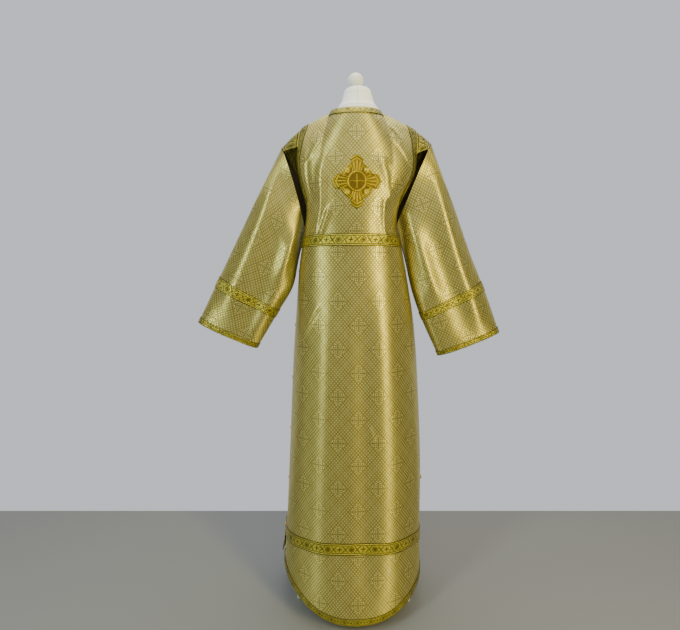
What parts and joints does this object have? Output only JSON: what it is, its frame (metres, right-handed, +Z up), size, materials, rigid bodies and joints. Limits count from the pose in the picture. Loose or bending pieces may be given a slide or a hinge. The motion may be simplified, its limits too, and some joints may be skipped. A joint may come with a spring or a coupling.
{
  "type": "sticharion on a dress form",
  "caption": "Floor-length gold brocade church robe with wide sleeves, galloon bands and an applied cross on its back, worn by a limbless dress form on a low tripod stand",
  "frame": {"origin": "on the floor under the middle of the whole object's bounding box", "axes": "+Z up along the stand's pole, +X to the wearer's right and -Y towards the back of the robe, so that its back is seen looking along +Y"},
  "size_m": [0.8982, 0.3852, 1.583],
  "materials": {
    "brocade": "gold brocade with a fine diagonal lattice and small crosses, satin metallic sheen",
    "galloon": "woven bright gold galloon with double border lines",
    "embroidery": "deep gold metallic-thread applique, raised ridges",
    "bead_brass": "polished gold bead buttons",
    "jersey": "white stretched cotton jersey, matte",
    "white_paint": "white paint, satin"
  },
  "bodies": {
    "root": {"back_skirt": "brocade", "front_skirt": "brocade", "back_yoke": "brocade", "front_yoke": "brocade", "sleeve_left": "brocade", "sleeve_right": "brocade", "hem_trim_back": "galloon", "hem_trim_front": "galloon", "hem_band_back": "galloon", "hem_band_front": "galloon", "yoke_band_back": "galloon", "yoke_band_front": "galloon", "neckband_back": "galloon", "neckband_front": "galloon", "armhole_trim_back_left": "galloon", "armhole_trim_back_right": "galloon", "armhole_trim_front_left": "galloon", "armhole_trim_front_right": "galloon", "sleeve_band_left": "galloon", "sleeve_band_right": "galloon", "cuff_trim_left": "galloon", "cuff_trim_right": "galloon", "shoulder_strap_left": "galloon", "shoulder_strap_right": "galloon", "back_cross": "embroidery", "button_left_1": "bead_brass", "button_left_2": "bead_brass", "button_left_3": "bead_brass", "button_left_4": "bead_brass", "button_left_5": "bead_brass", "button_left_6": "bead_brass", "button_right_1": "bead_brass", "button_right_2": "bead_brass", "button_right_3": "bead_brass", "button_right_4": "bead_brass", "button_right_5": "bead_brass", "button_right_6": "bead_brass", "form_torso": "jersey", "form_cap": "jersey", "form_knob": "white_paint", "pole": "white_paint", "stand_hub": "white_paint", "stand_leg_1": "white_paint", "stand_leg_2": "white_paint", "stand_leg_3": "white_paint"}
  },
  "joints": []
}
